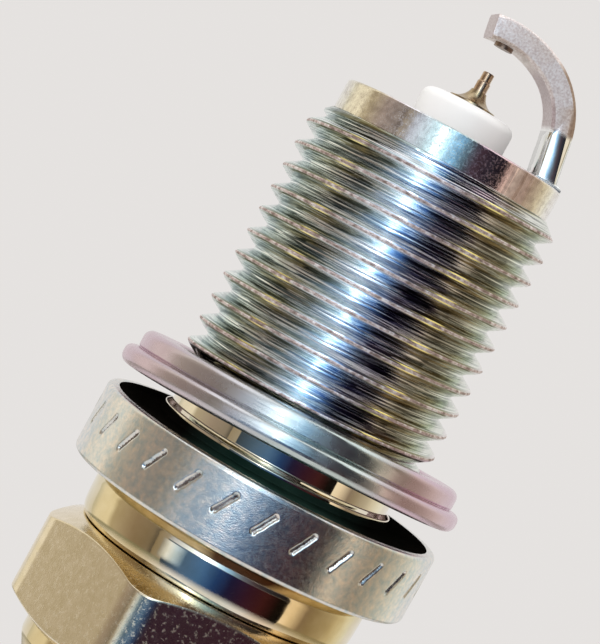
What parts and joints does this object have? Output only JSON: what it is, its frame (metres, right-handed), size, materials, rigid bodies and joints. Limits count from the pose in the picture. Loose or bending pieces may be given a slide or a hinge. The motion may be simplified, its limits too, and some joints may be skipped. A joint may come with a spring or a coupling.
{
  "type": "spark plug",
  "caption": "Spark plug with M14 thread, captive folded gasket, hexagon, white insulator, fine centre tip and bent ground electrode, firing end up.",
  "frame": {"origin": "centre of the collar's seat face, on the plug's axis", "axes": "+Z along the axis to the firing end; +X towards the side of the ground electrode, which is turned 9.3 degrees from it"},
  "size_m": [0.019, 0.019, 0.0759],
  "materials": {
    "plated_steel": "bright nickel plating with a faint iridescent tint",
    "gasket_steel": "satin, folded strip",
    "nickel_alloy": "dull satin",
    "electrode_nickel": "fine turned, olive brown",
    "iridium": "fine satin",
    "platinum": "satin",
    "copper": "plain copper core, hidden",
    "alumina": "white, glazed on the head and matt on the nose",
    "seal_glass": "dark conductive glass, hidden",
    "resistor_mix": "matt black carbon glass, hidden",
    "talc": "pressed powder, hidden",
    "packing_steel": "plain steel, hidden",
    "terminal_steel": "nickel plated"
  },
  "bodies": {
    "plug": {"metal_shell": "plated_steel", "ground_electrode": "nickel_alloy", "ground_electrode_pad": "platinum", "ceramic_insulator": "alumina", "centre_electrode": "electrode_nickel", "centre_electrode_core": "copper", "iridium_tip": "iridium", "lower_glass_seal": "seal_glass", "resistor": "resistor_mix", "upper_glass_seal": "seal_glass", "terminal_stud": "terminal_steel", "lower_packing_ring": "packing_steel", "rear_packing_ring": "packing_steel", "talc_ring": "talc", "crimp_packing_ring": "packing_steel"},
    "gasket_ring": {"gasket": "gasket_steel"},
    "terminal_cap": {"terminal_nut": "terminal_steel"}
  },
  "joints": [
    {"name": "gasket_slide", "type": "slide", "parent": "plug", "child": "gasket_ring", "axis": [0, 0, 1], "range_m": [-0.00053, 0.0011]},
    {"name": "terminal_nut_slide", "type": "slide", "parent": "plug", "child": "terminal_cap", "axis": [0, 0, -1], "range_m": [0, 0.008]}
  ]
}
